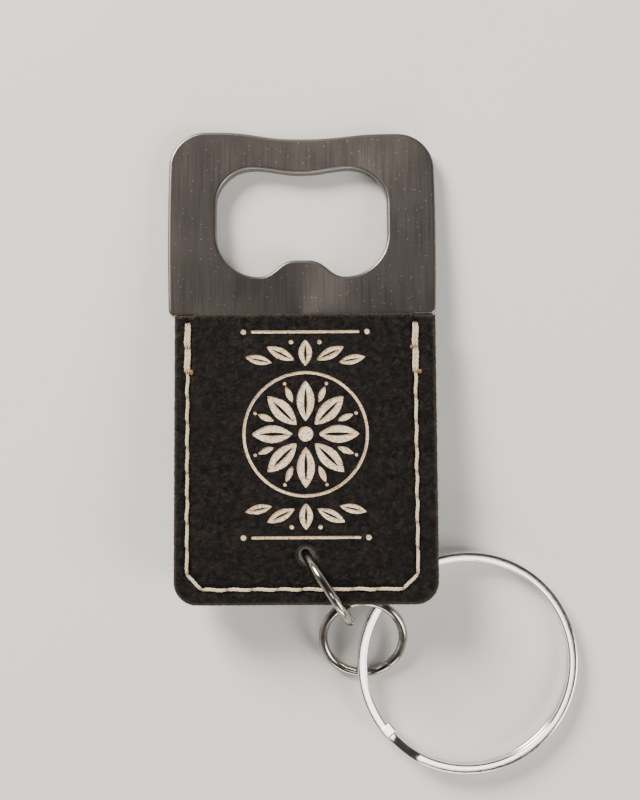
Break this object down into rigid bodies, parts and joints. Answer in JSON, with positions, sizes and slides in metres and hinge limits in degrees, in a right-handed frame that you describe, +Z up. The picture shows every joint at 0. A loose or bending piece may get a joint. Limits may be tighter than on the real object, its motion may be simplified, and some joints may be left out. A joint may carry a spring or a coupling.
{
  "type": "keychain bottle opener",
  "caption": "Pocket bottle opener: a steel head with a cap opening, a stitched black leather grip on its tongue, and a chain of wire rings to carry keys.",
  "frame": {"origin": "middle of the bounding box in plan, on the table that the opener lies on", "axes": "+Y along the opener towards its steel head, +Z up from the table, +X to the side that the key ring lies on; the opener leans by 5.3 degrees, its leather end propped up by the rings"},
  "size_m": [0.0644, 0.1016, 0.0141],
  "materials": {
    "brushed_steel": "vertical brushed grain, tumbled edges",
    "fibre_board": "pressed grey fibre board",
    "black_leather": "fine grained, slightly glossy black",
    "cream_thread": "twisted cream sewing thread",
    "nickel_wire": "nickel plated wire",
    "chrome_wire": "bright plated flat wire"
  },
  "bodies": {
    "sewn_body": {"opener_plate": "brushed_steel", "core_spacer": "fibre_board", "front_panel": "black_leather", "back_panel": "black_leather", "front_stitching": "cream_thread", "back_stitching": "cream_thread"},
    "strap_ring": {"strap_ring": "nickel_wire"},
    "link_ring": {"link_ring": "nickel_wire"},
    "key_ring": {"key_ring": "chrome_wire"}
  },
  "joints": [
    {"name": "strap_ring_swing", "type": "hinge", "parent": "sewn_body", "child": "strap_ring", "pos_m": [-0.01066, -0.01566, 0.00722], "axis": [0, 0, 1], "range_deg": [-70, 4]},
    {"name": "link_ring_swing", "type": "hinge", "parent": "strap_ring", "child": "link_ring", "pos_m": [-0.00397, -0.02597, 0.00755], "axis": [0, 0, 1], "range_deg": [-60, 66]},
    {"name": "key_ring_turn", "type": "hinge", "parent": "link_ring", "child": "key_ring", "pos_m": [0.01469, -0.03332, 0.00202], "axis": [0.0465, 0.0049, 0.9989], "continuous": true}
  ]
}
